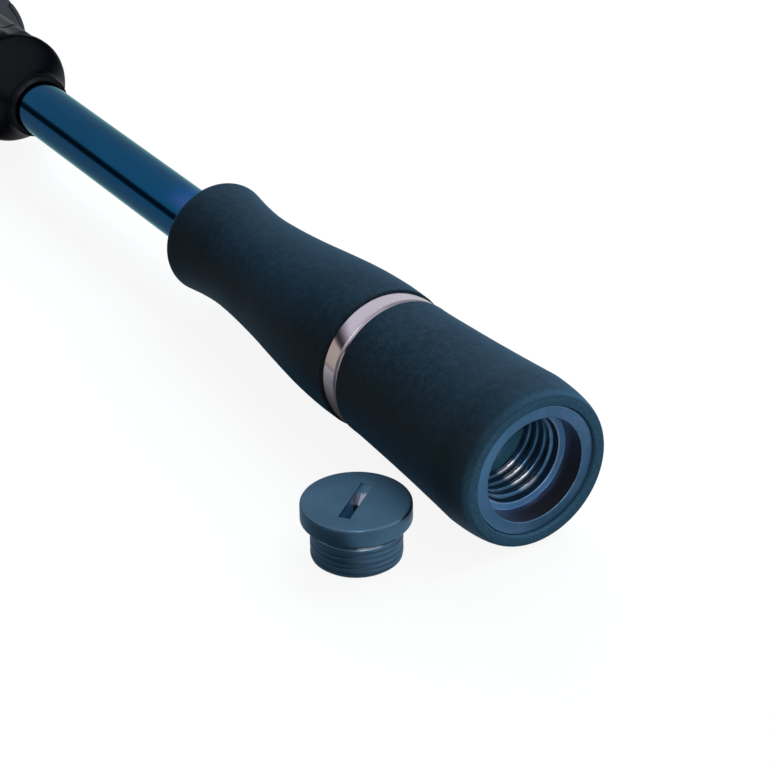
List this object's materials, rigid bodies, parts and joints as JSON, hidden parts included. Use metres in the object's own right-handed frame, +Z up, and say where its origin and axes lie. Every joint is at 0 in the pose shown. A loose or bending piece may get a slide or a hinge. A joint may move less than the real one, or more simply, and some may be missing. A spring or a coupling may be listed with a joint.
{
  "type": "eging rod",
  "caption": "Two-section spinning rod for squid jigging, with a foam handle, screw-plugged hollow butt, reel seat with a screw-down hood, and forward-leaning line guides.",
  "frame": {"origin": "on the table, under the middle of the whole layout's outline", "axes": "+X along the rod from the butt to the tip, +Z up, +Y to the side on which the plug stands; the reel seat and the guides face -Y"},
  "size_m": [2.4382, 0.0716, 0.0277],
  "materials": {
    "anodised": "satin blue-grey anodising over fine turning lines",
    "foam": "matte fine-grained navy-black grip foam",
    "band_metal": "polished copper-pink anodising",
    "blank": "clear gloss lacquer over dark blue",
    "seat_plastic": "satin black moulded",
    "hood_metal": "satin gunmetal anodising",
    "arbor": "bonded rigid foam, hidden inside the seat",
    "guide_metal": "smoked polished wire",
    "ceramic": "polished black hard ring",
    "winding": "navy thread under clear resin",
    "seal_rubber": "matte black"
  },
  "bodies": {
    "butt_section": {"butt_cup": "anodised", "rear_grip": "foam", "grip_band": "band_metal", "front_grip": "foam", "lower_blank": "blank", "seat_rear_trim": "seat_plastic", "seat_body": "seat_plastic", "rear_arbor": "arbor", "front_arbor": "arbor", "fixed_hood": "hood_metal", "front_check": "hood_metal", "guide_1_frame": "guide_metal", "guide_1_ring": "ceramic", "guide_1_winding_rear": "winding", "guide_1_winding_front": "winding", "guide_2_frame": "guide_metal", "guide_2_ring": "ceramic", "guide_2_winding_rear": "winding", "guide_2_winding_front": "winding"},
    "tip_section": {"upper_blank": "blank", "joint_winding": "winding", "guide_3_frame": "guide_metal", "guide_3_ring": "ceramic", "guide_3_winding": "winding", "guide_4_frame": "guide_metal", "guide_4_ring": "ceramic", "guide_4_winding": "winding", "guide_5_frame": "guide_metal", "guide_5_ring": "ceramic", "guide_5_winding": "winding", "guide_6_frame": "guide_metal", "guide_6_ring": "ceramic", "guide_6_winding": "winding", "guide_7_frame": "guide_metal", "guide_7_ring": "ceramic", "guide_7_winding": "winding", "guide_8_frame": "guide_metal", "guide_8_ring": "ceramic", "guide_8_winding": "winding", "tip_top_frame": "guide_metal", "tip_top_ring": "ceramic", "tip_top_winding": "winding"},
    "sliding_hood": {"moving_hood": "hood_metal"},
    "lock_ring": {"lock_nut": "seat_plastic"},
    "seal": {"plug_seal": "seal_rubber"},
    "plug": {"butt_plug": "anodised"}
  },
  "joints": [
    {"name": "ferrule_slide", "type": "slide", "parent": "butt_section", "child": "tip_section", "axis": [1, 0, -0.0044], "range_m": [0, 0.08]},
    {"name": "hood_slide", "type": "slide", "parent": "butt_section", "child": "sliding_hood", "axis": [1, 0, -0.0044], "range_m": [0, 0.016]},
    {"name": "nut_spin", "type": "hinge", "parent": "sliding_hood", "child": "lock_ring", "pos_m": [-1.02851, 0.00269, 0.01305], "axis": [1, 0, -0.0044], "range_deg": [0, 2880]},
    {"name": "plug_lift", "type": "slide", "parent": "butt_section", "child": "seal", "axis": [0, 0, 1], "range_m": [0, 0.006]},
    {"name": "plug_turn", "type": "hinge", "parent": "seal", "child": "plug", "pos_m": [-1.20503, 0.027, 0], "axis": [0, 0, 1], "range_deg": [0, 1080]}
  ],
  "couplings": [
    {"joint": "hood_slide", "follows": "nut_spin", "m_per_rad": 0.00031831},
    {"joint": "plug_lift", "follows": "plug_turn", "m_per_rad": 0.00031831}
  ]
}
